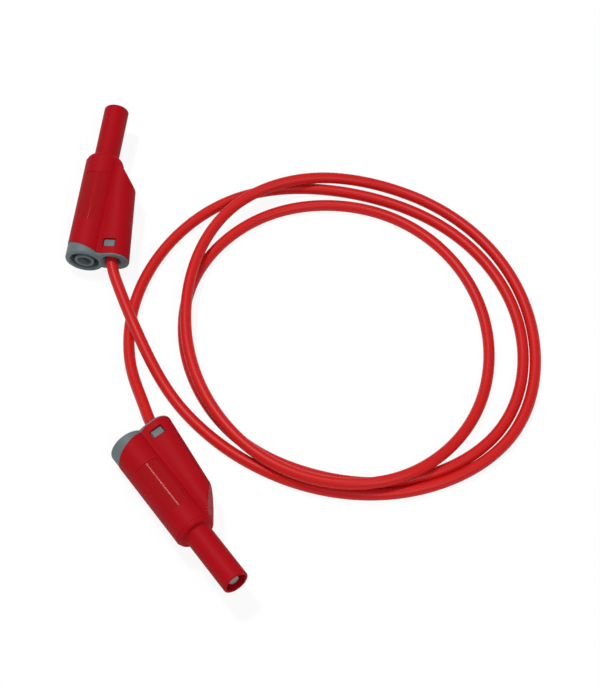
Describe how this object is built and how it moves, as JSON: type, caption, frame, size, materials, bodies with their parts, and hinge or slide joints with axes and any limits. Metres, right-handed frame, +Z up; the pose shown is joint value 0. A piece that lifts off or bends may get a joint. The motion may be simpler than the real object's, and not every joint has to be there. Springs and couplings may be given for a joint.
{
  "type": "test lead",
  "caption": "Red flexible test lead with a stacking safety plug on each end: fixed sleeve round a 4 mm pin, 4 mm socket in the grey rear cap, cord leaving from a side lobe.",
  "frame": {"origin": "on the surface that the lead lies on, under the middle of the box round the two plugs", "axes": "+Z up from that surface; +Y from the lower plug in the picture toward the upper one; +X toward the cord's loops"},
  "size_m": [0.1518, 0.176, 0.0165],
  "materials": {
    "red_plastic": "fine matt moulded",
    "grey_plastic": "fine matt moulded",
    "nickel_plated_brass": "turned and nickel plated",
    "tinned_brass": "stamped and tinned",
    "copper_strands": "bare stranded copper",
    "cord_jacket": "smooth, slightly glossy"
  },
  "bodies": {
    "root": {"cord": "cord_jacket", "plug_a_housing": "red_plastic", "plug_a_rear_cap": "grey_plastic", "plug_a_contact_pin": "nickel_plated_brass", "plug_a_lamella_cage": "nickel_plated_brass", "plug_a_socket_contact": "nickel_plated_brass", "plug_a_terminal_strap": "tinned_brass", "plug_a_conductor_end": "copper_strands", "plug_a_strain_relief_ring": "tinned_brass", "plug_b_housing": "red_plastic", "plug_b_rear_cap": "grey_plastic", "plug_b_contact_pin": "nickel_plated_brass", "plug_b_lamella_cage": "nickel_plated_brass", "plug_b_socket_contact": "nickel_plated_brass", "plug_b_terminal_strap": "tinned_brass", "plug_b_conductor_end": "copper_strands", "plug_b_strain_relief_ring": "tinned_brass"}
  },
  "joints": []
}
